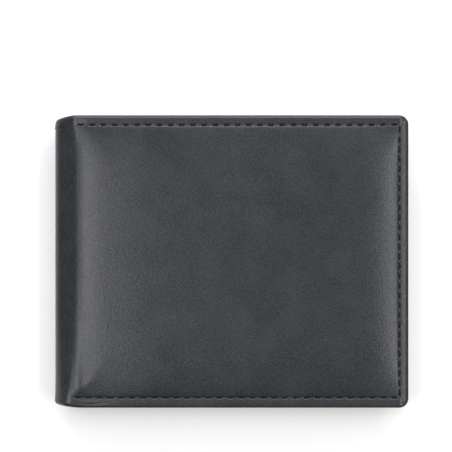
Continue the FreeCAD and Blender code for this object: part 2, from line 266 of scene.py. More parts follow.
# The fold's squarer ends
LOWER_END_WIDTH = mm(46)
UPPER_END_SHARE = 0.2
UPPER_END_START = mm(9)
UPPER_END_FADE = mm(8)
END_RISE_LOST = 1.5
END_RAISE = mm(0.2)
END_RAISE_FADE = mm(4)
END_REACH = mm(4.1)
END_SHARPNESS = 1.3
END_SLOPE = 0.16
END_FADE = mm(3.5)

# How steeply the pad rises where it leaves the fold: distance from the fold in mm, and slope
FOLD_SLOPES = (
    (-3.5, 0.0), (-1.3, 0.25), (0.4, 0.225), (1.4, 0.19), (2.4, 0.137), (4.6, 0.1), (5.9, 0.085),
    (7.2, 0.068), (9.8, 0.054), (12.8, 0.045), (14.8, 0.04), (23, 0.017), (31, 0.0),
)


def swell(distance, shoulder=SHOULDER, roundness=SHOULDER_ROUNDNESS):
    """A pillow's rise from its seam: steepest close to the seam and level at the end of its shoulder."""
    distance = max(0.0, distance)
    wide = 1 - (1 - min(1.0, distance / shoulder)) ** roundness
    return wide * (1 - EDGE_SHARE) + EDGE_SHARE * (1 - math.exp(-distance / SHOULDER_EDGE))


def fold_rise(along):
    """The pad's height over the fold's flattest line, from the slopes between there and the point."""
    height = 0.0
    for (start, first), (end, last) in zip(FOLD_SLOPES, FOLD_SLOPES[1:]):
        start, end = mm(start), mm(end)
        if along <= start:
            break
        reached = min(along, end)
        slope = first + (last - first) * (reached - start) / (end - start)
        height += (first + slope) / 2 * (reached - start)
    return height


FULL_RISE = fold_rise(1.0)


def fold_base(along):
    """How far the fold lies outside a circle: full at its sides, and pressed flat where it meets the pad."""
    if along < FLATTEST:
        way = (along - FOLD_MIDDLE) / (FLATTEST - FOLD_MIDDLE)
        return FOLD_FULLNESS * bump(way - FULLEST, FULLEST) - FOLD_FLATTENING * smooth(way)
    return -FOLD_FLATTENING * (1 - smooth((along - FLATTEST) / FLAT_FADE))


def end_share(y):
    """How much the fold has the squarer form of its two ends, where its turned edges lie double."""
    lower = min(1.0, max(0.0, -y / LOWER_END_WIDTH)) ** 2
    return lower + UPPER_END_SHARE * smooth((y - HIGH_Y + UPPER_END_START) / UPPER_END_FADE)


def end_base(along, share):
    """The form of the fold's ends: a flat facet beside the pad, then a full round side."""
    reach = min(max(0.0, -along), END_REACH * share ** END_SHARPNESS)
    facet = reach * reach / (2 * FOLD_RADIUS) - END_SLOPE * reach
    return facet * smooth((along - FOLD_MIDDLE) / END_FADE)


def crown(along, y):
    """How far the padding lifts the cover: the seams pinch it at three sides and the fold lets it run on."""
    at_fold = 1 - smooth(along / FOLD_ZONE)
    lower_shoulder = SHOULDER + (LOWER_SHOULDER_AT_FOLD - SHOULDER) * at_fold
    upper_shoulder = SHOULDER + (UPPER_SHOULDER_AT_FOLD - SHOULDER) * at_fold
    lower_roundness = SHOULDER_ROUNDNESS - ROUNDNESS_LOST_AT_FOLD * at_fold
    from_low = swell(y - LOW_Y - SEAM_MARGIN, lower_shoulder, lower_roundness)
    from_seams = from_low * swell(HIGH_Y - SEAM_MARGIN - y, upper_shoulder)
    from_seams *= swell(COVER_WIDTH - SIDE_MARGIN - along)
    pinch = smooth((along - PINCH_START) / PINCH_WIDTH)
    share = end_share(y)
    lift = (CROWN + FOLD_FLATTENING) / FULL_RISE
    rise = max(0.0, fold_rise(along) * lift - FOLD_FLATTENING - fold_base(along))
    raised = END_RAISE * smooth((along - FOLD_MIDDLE) / END_RAISE_FADE)
    rise -= min(1.0, END_RISE_LOST * share) * (min(rise, fold_rise(0) * lift) - raised)
    base = fold_base(along) * (1 - share) + end_base(along, share) * share
    pressed = CORNER_PRESSED * at_fold * pinch * (1 - from_low)
    return base + rise * (1 - pinch * (1 - from_seams)) - pressed


def seam_points(start, end, pitch):
    """Middles of the stitches between two points, with the direction from one to the next."""
    run = end - start
    count = round(run.length / pitch)
    return [(start + run * ((i + 0.5) / count), run.normalized()) for i in range(count)]


def cover_seam(first, sides=True):
    """The cover's stitches, as points (along, y) and directions: the top line, and the other two if asked."""
    right, low, high = COVER_WIDTH - SIDE_SEAM_INSET, LOW_Y + SEAM_INSET, HIGH_Y - SEAM_INSET
    seam = seam_points(Vector((first, high)), Vector((right, high)), STITCH_PITCH)
    if sides:
        seam += seam_points(Vector((LOWER_FIRST_STITCH, low)), Vector((right, low)), STITCH_PITCH)
        seam += seam_points(Vector((right, low)), Vector((right, high)), SIDE_PITCH)
    return seam


# The thread's dimples, level along a share of the stitch, and the shallow channel along the whole seam
PLATEAU = 0.32
DIMPLE_WIDTH = mm(0.55)
DIMPLE_DEPTH = mm(0.28)
CHANNEL_DEPTH = mm(0.04)
CHANNEL_WIDTH = mm(0.8)

# The heated line, and how the margins thin out towards the edges
CREASE_WIDTH = mm(0.34)
CREASE_DEPTH = mm(0.08)
BEAD_HEIGHT = mm(0.13)
BEAD_WIDTH = mm(0.36)
LOWER_CREASE_SHARE = 0.45
SIDE_SKIVING = 0.14
BESIDE_FOLD = mm(3)

# The upper and the free edge step down close to the outline: how far, how far in, and over what width
UPPER_STEP, UPPER_STEP_INSET, UPPER_STEP_WIDTH = mm(0.12), mm(0.5), mm(0.5)
SIDE_STEP, SIDE_STEP_INSET, SIDE_STEP_WIDTH = mm(0.05), mm(1), mm(0.6)

# The marks at the fold's ends
TURNED_STEP, TURNED_STEP_INSET, TURNED_STEP_SLANT = mm(0.15), mm(3.75), 0.12
NICK, NICK_ALONG, NICK_INSET = mm(0.12), mm(-3), mm(3.4)
WRINKLE, WRINKLE_PITCH, WRINKLE_END = mm(0.035), mm(1.25), mm(3)


def dimples(seam, deep=DIMPLE_DEPTH):
    """A function that gives how deep the thread pulls the leather in at a point (along, y)."""
    cell = STITCH_PITCH
    near = {}
    for middle, direction in seam:
        key = (math.floor(middle.x / cell), math.floor(middle.y / cell))
        near.setdefault(key, []).append((middle, direction))

    def depth(along, y):
        deepest = 0.0
        column, row = math.floor(along / cell), math.floor(y / cell)
        for i in (column - 1, column, column + 1):
            for j in (row - 1, row, row + 1):
                for middle, direction in near.get((i, j), ()):
                    off_x, off_y = along - middle.x, y - middle.y
                    ahead = abs(off_x * direction.x + off_y * direction.y)
                    aside = off_y * direction.x - off_x * direction.y
                    past_thread = max(0.0, ahead - STITCH_LENGTH * PLATEAU)
                    pull = bump(past_thread, STITCH_LENGTH * PLATEAU) * bump(aside, DIMPLE_WIDTH)
                    deepest = max(deepest, pull)
        return deepest * deep

    return depth


def crease(from_line):
    """The heated line, at a distance from its middle: a groove, and the leather raised on its outer side."""
    groove = CREASE_DEPTH * bump(from_line, CREASE_WIDTH)
    return groove - BEAD_HEIGHT * bump(from_line + CREASE_WIDTH + BEAD_WIDTH * 0.5, BEAD_WIDTH)


def end_marks(along, y):
    """How deep small marks press the fold's ends in.

    The upper turned edge steps up, with a nick beside it, and the lower margin is wrinkled.
    """
    across = y - (HIGH_Y - TURNED_STEP_INSET + (along + mm(8)) * TURNED_STEP_SLANT)
    step = smooth(across / mm(0.4) + 0.5) * smooth(1 - across / mm(3)) * smooth((mm(-4.5) - along) / mm(2))
    nick = bump(along - NICK_ALONG, mm(0.35)) * bump(y - HIGH_Y + NICK_INSET, mm(0.9))
    from_edge = y - LOW_Y
    wave = math.sin(2 * math.pi * from_edge / WRINKLE_PITCH + 1.6 * math.sin(along / mm(2.6)))
    wrinkled = smooth(from_edge / mm(1)) * smooth((WRINKLE_END - from_edge) / mm(0.6))
    wrinkled *= smooth((along + mm(1.5)) / mm(2)) * smooth((mm(13) - along) / mm(7))
    return NICK * nick - TURNED_STEP * step + WRINKLE * wave * wrinkled


# Runs of stations in from an edge: start, end and greatest step
FINE_BAND = mm(6)
TIP, CREASED, SEWN = mm(0.1), mm(2.3), mm(4.2)
TIP_STEP = mm(0.03)
EDGE_RUNS = (
    (0, TIP, TIP_STEP), (TIP, CREASED, mm(0.12)), (CREASED, SEWN, mm(0.16)), (SEWN, FINE_BAND, mm(0.3)),
)
FOLD_STEP = mm(0.35)
COLUMN_STEP = mm(0.4)
ROW_STEP = mm(0.45)
COVER_EDGE = mm(1.25)
THINNEST = mm(0.05)
RISE_FADE = mm(8)


def fine_edges(low, high, step):
    """Stations from low to high: close together near both ends, where the edges curve and the seams run."""
    lower = [(low + start, low + end, fine) for start, end, fine in EDGE_RUNS]
    upper = [(high - end, high - start, fine) for start, end, fine in reversed(EDGE_RUNS)]
    return stations(*lower, (low + FINE_BAND, high - FINE_BAND, step), *upper)


def cover_columns():
    """Stations along the cover, from the middle of the fold to its free edge."""
    beside = FOLD_MIDDLE + 2 * TIP_STEP
    fold = [(FOLD_MIDDLE, beside, TIP_STEP), (beside, 0, FOLD_STEP)]
    edge = [(COVER_WIDTH - end, COVER_WIDTH - start, fine) for start, end, fine in reversed(EDGE_RUNS)]
    return stations(*fold, (0, COVER_WIDTH - FINE_BAND, COLUMN_STEP), *edge)


def bend_at_fold(piece, name):
    """Bakes the piece's placement into its mesh, alike for either half. The piece is left on no body."""
    side = HALVES[name]
    if side > 0:
        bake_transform(piece)
    else:
        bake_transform(piece)


def outer_level():
    """A function that gives the level of a cover's outer face at a point, dimples and crease included."""
    pull = dimples(cover_seam(FIRST_STITCH))

    def level(along, y, inside):
        beside_fold = smooth(1 + along / BESIDE_FOLD)
        from_side, from_top = COVER_WIDTH - along, HIGH_Y - y
        from_seam = min(from_side - SIDE_SEAM_INSET, from_top - SEAM_INSET, y - LOW_Y - SEAM_INSET)
        pressed = CHANNEL_DEPTH * bump(from_seam, CHANNEL_WIDTH) * beside_fold
        pressed += LOWER_CREASE_SHARE * crease(y - LOW_Y - CREASE_INSET) * smooth(along / BESIDE_FOLD)
        pressed += UPPER_STEP * (1 - smooth((from_top - UPPER_STEP_INSET) / UPPER_STEP_WIDTH)) * beside_fold
        pressed += SIDE_STEP * (1 - smooth((from_side - SIDE_STEP_INSET) / SIDE_STEP_WIDTH))
        skiving = SIDE_SKIVING * max(0.0, SIDE_SEAM_INSET - from_side)
        return FOLD_RADIUS + crown(along, y) - pressed - skiving - pull(along, y) - end_marks(along, y)

    return level


def cover(name, material):
    """Outer leather of a half, over its foam, turned in at its edges, with its part of the fold."""

    def inner(along, y, inside):
        if inside < TURNED_WIDTH + THINNEST:
            return TURNED_LEVEL
        under = LINING_LEVEL + CLOTH + crown(along, y) * smooth(1 + along / RISE_FADE)
        return max(LINING_LEVEL + THINNEST, under)

    columns, rows = cover_columns(), fine_edges(LOW_Y, HIGH_Y, ROW_STEP)
    side = HALVES[name]
    piece = skin(f"{name}_cover_leather", side, columns, rows, outer_level(), inner, CORNER, COVER_EDGE)
    piece.data.materials.append(material)
    bend_at_fold(piece, name)
    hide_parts(f"{name}_cover", "fold_cover")


# Foam inside the covers

BOARD = mm(0.4)
FILLING_CLEARANCE = mm(0.1)
FOAM_INSET = mm(2.2)
FOAM_STEP = mm(1.5)
FOAM_EDGE = mm(0.06)


def foam_pad(name, material):
    """The foam under the cover leather, hollowed for the board it is glued over."""
    low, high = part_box(f"{name}_cover_board")
    board_from, board_to = low.x - FOLD_X, high.x - FOLD_X

    def outer(along, y, inside):
        return LINING_LEVEL + CLOTH + max(FOAM_EDGE, crown(along, y) - FILLING_CLEARANCE)

    def inner(along, y, inside):
        over_board = board_from <= along <= board_to and low.y <= y <= high.y
        return min(outer(along, y, inside) - THINNEST, LINING_LEVEL + CLOTH + (BOARD if over_board else 0))

    box_low, box_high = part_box(f"{name}_foam_pad")
    columns = stations((box_low.x - FOLD_X + FOAM_INSET, box_high.x - FOLD_X - FOAM_INSET, FOAM_STEP))
    rows = stations((box_low.y + FOAM_INSET, box_high.y - FOAM_INSET, FOAM_STEP))
    piece = skin(f"{name}_foam", HALVES[name], columns, rows, outer, inner)
    piece.data.materials.append(material)
    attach(piece, f"{name}_half")
    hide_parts(f"{name}_foam_pad")


# Cloth of the banknote compartment

CLOTH_STEP = mm(2)
CLOTH_FOLD_STEP = mm(0.5)
LINING_TUCK = mm(0.6)


def cloth_layer(name, label, nodes, level, low, high, width, material):
    """A cloth sheet on the inside of a half, with its part of the fold."""
    columns = stations((FOLD_MIDDLE, 0, CLOTH_FOLD_STEP), (0, width, CLOTH_STEP))
    rows = stations((low, high, CLOTH_STEP))
    piece = skin(f"{name}_{label}", HALVES[name], columns, rows, lambda *_: level + CLOTH, lambda *_: level)
    piece.data.materials.append(material)
    bend_at_fold(piece, name)
    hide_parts(*nodes)


def cover_lining(name, material):
    """Cloth that lines the cover, its raw edges under the turned leather."""
    inset = TURNED_WIDTH - LINING_TUCK
    low, high, width = LOW_Y + inset, HIGH_Y - inset, COVER_WIDTH - inset
    nodes = (f"{name}_cover_lining", "fold_lining")
    cloth_layer(name, "cover_cloth", nodes, LINING_LEVEL, low, high, width, material)


def banknote_wall(name, material):
    """Cloth between the banknotes and the cards, its edges under the base panel's turned leather."""
    low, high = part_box(f"{name}_banknote_wall")
    width = high.x - FOLD_X
    nodes = (f"{name}_banknote_wall", "fold_gutter")
    cloth_layer(name, "banknote_cloth", nodes, WALL_LEVEL, low.y, high.y, width, material)


# The base panel and the stepped card pockets

PANEL_EDGE_INSET = mm(0.5)
POCKET_EDGE_INSET = mm(1)
POCKET_STEP = mm(11.5)
POCKET_STRIP = mm(14)
POCKET_DEPTH = mm(50)
POCKET_WAIST = mm(8)
POCKET_RIM = mm(1.2)
LOWEST_MOUTH = LOW_Y + mm(53.5)
POCKET_EDGE = mm(0.25)
POCKET_SEAM_INSET = mm(2.1)
TOP_SEAM_INSET = mm(2.2)
PANEL_EDGE = mm(0.5)
PANEL_STEP = mm(0.8)
PANEL_CREASE_SHARE = 0.5
MOUTH_CREASE_INSET, MOUTH_CREASE_DEPTH, MOUTH_CREASE_WIDTH = mm(1.6), mm(0.09), mm(0.35)
SIDE_DROOP, SIDE_DROOP_WIDTH = mm(0.12), mm(1.6)
INNER_DIMPLE = mm(0.16)


def mouth_of(order):
    """The height of a pocket's mouth, where 0 is the top pocket."""
    return LOWEST_MOUTH + POCKET_STEP * (2 - order)


def pocket_level(order):
    """The level of the face of a pocket that is seen, where 0 is the top pocket."""
    return POCKET_LEVEL + POCKET_PITCH * (2 - order)


def panel_top():
    """The upper edge of the base panels, below the edge of the covers."""
    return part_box("front_base_panel")[1].y


def inner_face(y):
    """The level of what shows on the inside of a half at a height."""
    for order in (2, 1, 0):
        if y < mouth_of(order):
            return pocket_level(order)
    return PANEL_LEVEL


def pocket_seams():
    """Stitches through the pockets and the base panel: at both sides, the foot and under the top edge."""
    left, right = POCKET_EDGE_INSET + POCKET_SEAM_INSET, COVER_WIDTH - SEAM_INSET
    foot, top = LOW_Y + SEAM_INSET, panel_top() - TOP_SEAM_INSET
    levels = [foot, mouth_of(2), mouth_of(1), mouth_of(0), top]
    seam = []
    for low, high in zip(levels, levels[1:]):
        for along in (left, right):
            seam += seam_points(Vector((along, low)), Vector((along, high)), STITCH_PITCH)
    seam += seam_points(Vector((left, foot)), Vector((right, foot)), STITCH_PITCH)
    seam += seam_points(Vector((left, top)), Vector((right, top)), STITCH_PITCH)
    return seam


def base_panel(name, material):
    """Leather that carries the pockets, turned over the banknote wall at three sides."""
    low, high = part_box(f"{name}_base_panel")
    width = high.x - FOLD_X
    pull = dimples(pocket_seams(), INNER_DIMPLE)

    def outer(along, y, inside):
        turned = min(width - along, y - low.y, high.y - y) < PANEL_TURNED_WIDTH
        return TURNED_LEVEL if turned else SLIP_LEVEL

    def inner(along, y, inside):
        creased = crease(min(width - along, high.y - y) - CREASE_INSET)
        return PANEL_LEVEL + pull(along, y) + creased * PANEL_CREASE_SHARE

    columns, rows = fine_edges(0, width, PANEL_STEP), fine_edges(low.y, high.y, PANEL_STEP)
    radius = CORNER - PANEL_EDGE_INSET
    side = HALVES[name]
    piece = skin(f"{name}_panel_leather", side, columns, rows, outer, inner, radius, PANEL_EDGE)
    piece.data.materials.append(material)
    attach(piece, f"{name}_half")
    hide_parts(f"{name}_base_panel")


def card_pocket(name, order, material):
    """One stepped pocket, its side and lower edges turned down to what it is sewn to.

    The two upper pockets are T shaped, with a narrow leg behind the pocket below. The lowest is plain.
    """
    lowest = order == 2
    level, mouth = pocket_level(order), mouth_of(order)
    left, right = POCKET_EDGE_INSET, COVER_WIDTH - POCKET_EDGE_INSET
    strip_low = LOW_Y + POCKET_EDGE_INSET if lowest else mouth - POCKET_STRIP
    foot = strip_low if lowest else mouth - POCKET_DEPTH
    leg_left, leg_right = left + POCKET_WAIST, right - POCKET_WAIST
    overlap = POCKET_STRIP - POCKET_STEP
    pull = dimples(pocket_seams(), INNER_DIMPLE)

    def kept(along, y):
        return y > strip_low or leg_left < along < leg_right

    def outer(along, y, inside):
        beside = min(along - left, right - along) < POCKET_RIM
        if beside and order and mouth - y < overlap:
            return level + POCKET_LEATHER + CARD_GAP
        if beside or y - foot < POCKET_RIM:
            return PANEL_LEVEL
        return level + POCKET_LEATHER

    def inner(along, y, inside):
        line = MOUTH_CREASE_DEPTH * bump(mouth - y - MOUTH_CREASE_INSET, MOUTH_CREASE_WIDTH)
        from_edge = min(along - left, right - along, y - strip_low if lowest else 1)
        droop = SIDE_DROOP * smooth(1 - from_edge / SIDE_DROOP_WIDTH)
        return level + line + droop + pull(along, y)

    side_edge = [(left, left + mm(0.1), mm(0.05)), (left + mm(0.1), left + FINE_BAND, mm(0.25))]
    far_edge = [(right - FINE_BAND, right - mm(0.1), mm(0.25)), (right - mm(0.1), right, mm(0.05))]
    middle = [(left + FINE_BAND, leg_left, mm(0.5)), (leg_left, leg_right, mm(0.8))]
    columns = stations(*side_edge, *middle, (leg_right, right - FINE_BAND, mm(0.5)), *far_edge)
    if lowest:
        lower_rows = [(foot, foot + FINE_BAND, mm(0.25)), (foot + FINE_BAND, mouth - mm(4), mm(0.8))]
    else:
        lower_rows = [(foot, strip_low, mm(2)), (strip_low, mouth - mm(4), mm(0.6))]
    mouth_rows = [(mouth - mm(4), mouth - mm(0.2), mm(0.2)), (mouth - mm(0.2), mouth, mm(0.05))]
    rows = stations(*lower_rows, *mouth_rows)
    radius = CORNER - POCKET_EDGE_INSET if lowest else 0.0
    label = f"{name}_{POCKET_NAMES[order]}_pocket_leather"
    piece = skin(label, HALVES[name], columns, rows, outer, inner, radius, POCKET_EDGE, kept)
    piece.data.materials.append(material)
    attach(piece, f"{name}_half")
    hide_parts(f"{name}_{POCKET_NAMES[order]}_card_pocket")


# Thread

DIVE = mm(0.14)
COVER_THREAD_LIFT = THREAD * 0.1
POCKET_THREAD_SINK = THREAD * 0.25
MARGIN_THREAD_SINK = THREAD * 0.2


def thread(label, name, stitches, material):
    """All the stitches of one seam: each a short twisted strand whose ends dive into its holes.

    A stitch is its middle (along, y), its direction, the level it lies on, and 1 where it lies on the
    outer side of the leather or -1 where it lies on the inner side.
    """
    side = HALVES[name]
    bm = bmesh.new()
    along_strand = bm.verts.layers.float.new("thread_along")
    round_strand = bm.verts.layers.float.new("thread_turn")
    half_length, radius = STITCH_LENGTH / 2, THREAD / 2
    for middle, direction, level, facing in stitches:
        up = Vector((0, 0, side * facing))
        ahead = Vector((direction.x, direction.y, 0))
        aside = up.cross(ahead)
        start = place(side, middle.x, middle.y, level)
        for vert in bmesh.ops.create_uvsphere(bm, u_segments=8, v_segments=6, radius=radius)["verts"]:
            x, y, z = vert.co
            z += math.copysign(half_length - radius, z) if abs(z) > radius * 0.1 else 0
            dive = DIVE * (z / half_length) ** 4
            vert[along_strand] = z
            vert[round_strand] = math.atan2(y, x)
            vert.co = start + ahead * z + aside * x + up * (y - dive)
    mesh = bpy.data.meshes.new(label)
    bmesh.ops.recalc_face_normals(bm, faces=bm.faces[:])
    bm.to_mesh(mesh)
    bm.free()
    piece = finished(label, mesh, 60)
    piece.data.materials.append(material)
    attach(piece, f"{name}_half")


def cover_thread(name, material):
    """The stitches on the outside of a cover, sunk in their dimples."""
    level = outer_level()
    stitches = []
    for middle, direction in cover_seam(FIRST_STITCH):
        inside = min(edge_distances(middle.x, middle.y, (-1, COVER_WIDTH), (LOW_Y, HIGH_Y)))
        stitches.append((middle, direction, level(middle.x, middle.y, inside) + COVER_THREAD_LIFT, 1))
    thread(f"{name}_cover_thread", name, stitches, material)


def inner_thread(name, material):
    """The stitches on the pockets and the base panel, and those of the cover's top line inside."""
    stitches = []
    for middle, direction in pocket_seams():
        stitches.append((middle, direction, inner_face(middle.y) + INNER_DIMPLE - POCKET_THREAD_SINK, -1))
    for middle, direction in cover_seam(FIRST_STITCH + STITCH_PITCH, sides=False):
        stitches.append((middle, direction, TURNED_LEVEL - MARGIN_THREAD_SINK, -1))
    thread(f"{name}_inner_thread", name, stitches, material)


# Materials

def linear(code):
    """An sRGB hex colour as linear red, green and blue."""
    parts = [int(code[i:i + 2], 16) / 255 for i in (1, 3, 5)]
    return [p / 12.92 if p <= 0.04045 else ((p + 0.055) / 1.055) ** 2.4 for p in parts] + [1.0]


def new_material(name):
    """An empty material and its node tree."""
    material = bpy.data.materials.new(name)
    material.use_nodes = True
    material.node_tree.nodes.clear()
    return material, material.node_tree


def add_node(tree, kind, values=None, links=None, **settings):
    """Adds a node with its settings, the values of its inputs and the outputs linked into them."""
    node = tree.nodes.new(kind)
    for setting, value in settings.items():
        setattr(node, setting, value)
    for socket, value in (values or {}).items():
        node.inputs[socket].default_value = value
    for socket, source in (links or {}).items():
        tree.links.new(source, node.inputs[socket])
    return node


def two_colours(tree, share, dark, light):
    """The output of a mix of two sRGB colours."""
    mix = add_node(tree, "ShaderNodeMix", {6: linear(dark), 7: linear(light)}, {0: share}, data_type="RGBA")
    return mix.outputs[2]


def calf_leather(name, dark, light, roughness, grain_depth):
    """Plated black calf: full-grain hide, dyed through, pressed under a hot smooth plate and waxed.

    The eye gets a soft low gloss broken by a fine pebble of pores and hair cells, with faint clouds.
    """
    material, tree = new_material(name)
    place_on = add_node(tree, "ShaderNodeTexCoord").outputs["Object"]
    # Cells of the grain are 0.2 mm on the real hide. They are drawn at 0.85 mm, which is as fine as shows.
    cells = add_node(
        tree, "ShaderNodeTexVoronoi", {"Scale": 1 / mm(0.85), "Smoothness": 0.5}, {"Vector": place_on},
        feature="SMOOTH_F1",
    ).outputs["Distance"]
    pebble = add_node(
        tree, "ShaderNodeTexNoise", {"Scale": 1 / mm(0.65), "Detail": 2.0, "Roughness": 0.5},
        {"Vector": place_on},
    ).outputs["Fac"]
    pores = add_node(
        tree, "ShaderNodeTexNoise", {"Scale": 1 / mm(0.5), "Detail": 3.0, "Roughness": 0.7},
        {"Vector": place_on},
    ).outputs["Fac"]
    clouds = add_node(
        tree, "ShaderNodeTexNoise", {"Scale": 1 / mm(11), "Detail": 3.0, "Roughness": 0.55},
        {"Vector": place_on},
    ).outputs["Fac"]
    height = add_node(
        tree, "ShaderNodeMath", {1: -0.35}, {0: cells, 2: pebble}, operation="MULTIPLY_ADD"
    ).outputs["Value"]
    relief = add_node(
        tree, "ShaderNodeBump", {"Strength": 1.0, "Distance": grain_depth}, {"Height": height}
    ).outputs["Normal"]
    mottle = add_node(
        tree, "ShaderNodeMath", {1: 0.2}, {0: clouds, 2: pores}, operation="MULTIPLY_ADD"
    ).outputs["Value"]
    share = add_node(
        tree, "ShaderNodeMapRange", {"From Min": 0.42, "From Max": 0.78}, {"Value": mottle}
    ).outputs["Result"]
    colour = two_colours(tree, share, dark, light)
    gloss = add_node(
        tree, "ShaderNodeMapRange",
        {"From Min": 0.35, "From Max": 0.7, "To Min": roughness - 0.01, "To Max": roughness + 0.03},
        {"Value": clouds},
    ).outputs["Result"]
    shader = add_node(
        tree, "ShaderNodeBsdfPrincipled", {"IOR": 1.42},
        {"Base Color": colour, "Roughness": gloss, "Normal": relief},
    )
    add_node(tree, "ShaderNodeOutputMaterial", None, {"Surface": shader.outputs["BSDF"]})
    return material


def polyester_thread():
    """Bonded polyester thread: three plies twisted together and glued, so it shines along each ply."""
    material, tree = new_material("black bonded polyester thread, three ply")
    along = add_node(tree, "ShaderNodeAttribute", attribute_name="thread_along").outputs["Fac"]
    turn = add_node(tree, "ShaderNodeAttribute", attribute_name="thread_turn").outputs["Fac"]
    # One full twist of the three plies takes 1.8 mm, so a ply comes round every 0.6 mm.
    phase = add_node(
        tree, "ShaderNodeMath", {1: 2 * math.pi / mm(0.6)}, {0: along, 2: turn}, operation="MULTIPLY_ADD"
    ).outputs["Value"]
    ply = add_node(tree, "ShaderNodeMath", None, {0: phase}, operation="SINE").outputs["Value"]
    relief = add_node(
        tree, "ShaderNodeBump", {"Strength": 1.0, "Distance": mm(0.05)}, {"Height": ply}
    ).outputs["Normal"]
    # The colour follows the ply relief: painted shade, darker in the grooves between the plies and lighter on
    # their crests.
    share = add_node(
        tree, "ShaderNodeMapRange", {"From Min": -1.0, "From Max": 1.0}, {"Value": ply}
    ).outputs["Result"]
    colour = two_colours(tree, share, "#030304", "#0E0E10")
    shader = add_node(
        tree, "ShaderNodeBsdfPrincipled", {"IOR": 1.4, "Roughness": 0.6},
        {"Base Color": colour, "Normal": relief},
    )
    add_node(tree, "ShaderNodeOutputMaterial", None, {"Surface": shader.outputs["BSDF"]})
    return material


def lining_weave():
    """Plain-woven polyester lining: fine filament yarns over and under, with a cool satin sheen."""
    material, tree = new_material("black plain-woven polyester lining")
    place_on = add_node(tree, "ShaderNodeTexCoord").outputs["Object"]
    parts = add_node(tree, "ShaderNodeSeparateXYZ", None, {"Vector": place_on})
    # Yarns lie 0.25 mm apart in the real cloth. They are drawn 0.5 mm apart, which is as fine as shows.
    waves = []
    for axis in ("X", "Y"):
        phase = add_node(
            tree, "ShaderNodeMath", {1: math.pi / mm(0.5)}, {0: parts.outputs[axis]}, operation="MULTIPLY"
        ).outputs["Value"]
        waves.append(add_node(tree, "ShaderNodeMath", None, {0: phase}, operation="SINE").outputs["Value"])
    over = add_node(tree, "ShaderNodeMath", None, {0: waves[0], 1: waves[1]}, operation="MULTIPLY")
    slub = add_node(
        tree, "ShaderNodeTexNoise", {"Scale": 1 / mm(3), "Detail": 3.0}, {"Vector": place_on}
    ).outputs["Fac"]
    relief = add_node(
        tree, "ShaderNodeBump", {"Strength": 1.0, "Distance": mm(0.04)}, {"Height": over.outputs["Value"]}
    ).outputs["Normal"]
    # The colour is darker where the weave's relief is low, which is painted shade in the dips between the
    # yarns, laid over the slubs' own uneven tone.
    share = add_node(
        tree, "ShaderNodeMath", {1: 0.35}, {0: over.outputs["Value"], 2: slub}, operation="MULTIPLY_ADD",
        use_clamp=True,
    ).outputs["Value"]
    colour = two_colours(tree, share, "#151618", "#2C2E31")
    shader = add_node(
        tree, "ShaderNodeBsdfPrincipled",
        {"IOR": 1.5, "Roughness": 0.5, "Sheen Weight": 0.25, "Sheen Roughness": 0.4},
        {"Base Color": colour, "Normal": relief},
    )
    add_node(tree, "ShaderNodeOutputMaterial", None, {"Surface": shader.outputs["BSDF"]})
    return material


def filling(name, dark, light, cell, roughness):
    """Foam or fibre board inside the covers: matt, with open cells or pressed flecks."""
    material, tree = new_material(name)
    place_on = add_node(tree, "ShaderNodeTexCoord").outputs["Object"]
    flecks_and_shade = add_node(
        tree, "ShaderNodeTexNoise", {"Scale": 1 / cell, "Detail": 5.0, "Roughness": 0.65},
        {"Vector": place_on},
    ).outputs["Fac"]
    relief = add_node(
        tree, "ShaderNodeBump", {"Strength": 0.8, "Distance": cell / 4}, {"Height": flecks_and_shade}
    ).outputs["Normal"]
    # The colour follows the relief and is darker where it is low. In the foam this is painted shade in its
    # open cells, and in the board it is partly the board's own flecks and partly painted shade.
    colour = two_colours(tree, flecks_and_shade, dark, light)
    shader = add_node(
        tree, "ShaderNodeBsdfPrincipled", {"Roughness": roughness},
        {"Base Color": colour, "Normal": relief},
    )
    add_node(tree, "ShaderNodeOutputMaterial", None, {"Surface": shader.outputs["BSDF"]})
    return material


def white_where_seen(tree, value):
    """1 for rays that look at the background straight, in a mirror or through glass, times the value."""
    paths = add_node(tree, "ShaderNodeLightPath")
    seen = paths.outputs["Is Camera Ray"]
    for output in ("Is Glossy Ray", "Is Transmission Ray"):
        seen = add_node(
            tree, "ShaderNodeMath", None, {0: seen, 1: paths.outputs[output]}, operation="MAXIMUM"
        ).outputs["Value"]
    return add_node(tree, "ShaderNodeMath", {1: value}, {0: seen}, operation="MULTIPLY").outputs["Value"]


# The paper's own white, over what the lamps give it
FLOOR_LIFT = 0.155


def paper_sweep():
    """Matt white paper: even, with a faint tooth. It adds its own white only where it is looked at."""
    material, tree = new_material("matt white background paper")
    place_on = add_node(tree, "ShaderNodeTexCoord").outputs["Object"]
    tooth = add_node(
        tree, "ShaderNodeTexNoise", {"Scale": 1 / mm(1.5), "Detail": 4.0}, {"Vector": place_on}
    ).outputs["Fac"]
    relief = add_node(
        tree, "ShaderNodeBump", {"Strength": 0.2, "Distance": mm(0.05)}, {"Height": tooth}
    ).outputs["Normal"]
    paper = add_node(
        tree, "ShaderNodeBsdfDiffuse", {"Color": linear("#F2F2F2"), "Roughness": 0.0}, {"Normal": relief}
    )
    own_light = add_node(
        tree, "ShaderNodeEmission", {"Color": (1.0, 1.0, 1.0, 1.0)},
        {"Strength": white_where_seen(tree, FLOOR_LIFT)},
    )
    both = add_node(tree, "ShaderNodeAddShader", None, {0: paper.outputs[0], 1: own_light.outputs[0]})
    add_node(tree, "ShaderNodeOutputMaterial", None, {"Surface": both.outputs[0]})
    return material


# The pieces

outer_leather = calf_leather("plated black calf leather, waxed", "#151618", "#33363B", 0.3, mm(0.038))
inner_leather = calf_leather("drum-dyed black calf leather", "#1A1B1D", "#33363A", 0.38, mm(0.026))
black_thread = polyester_thread()
lining = lining_weave()
foam = filling("white polyurethane foam sheet", "#C9C6BC", "#EFECE2", mm(0.8), 0.9)
board = filling("grey pressed fibre board", "#8C8578", "#B0A897", mm(0.4), 0.8)

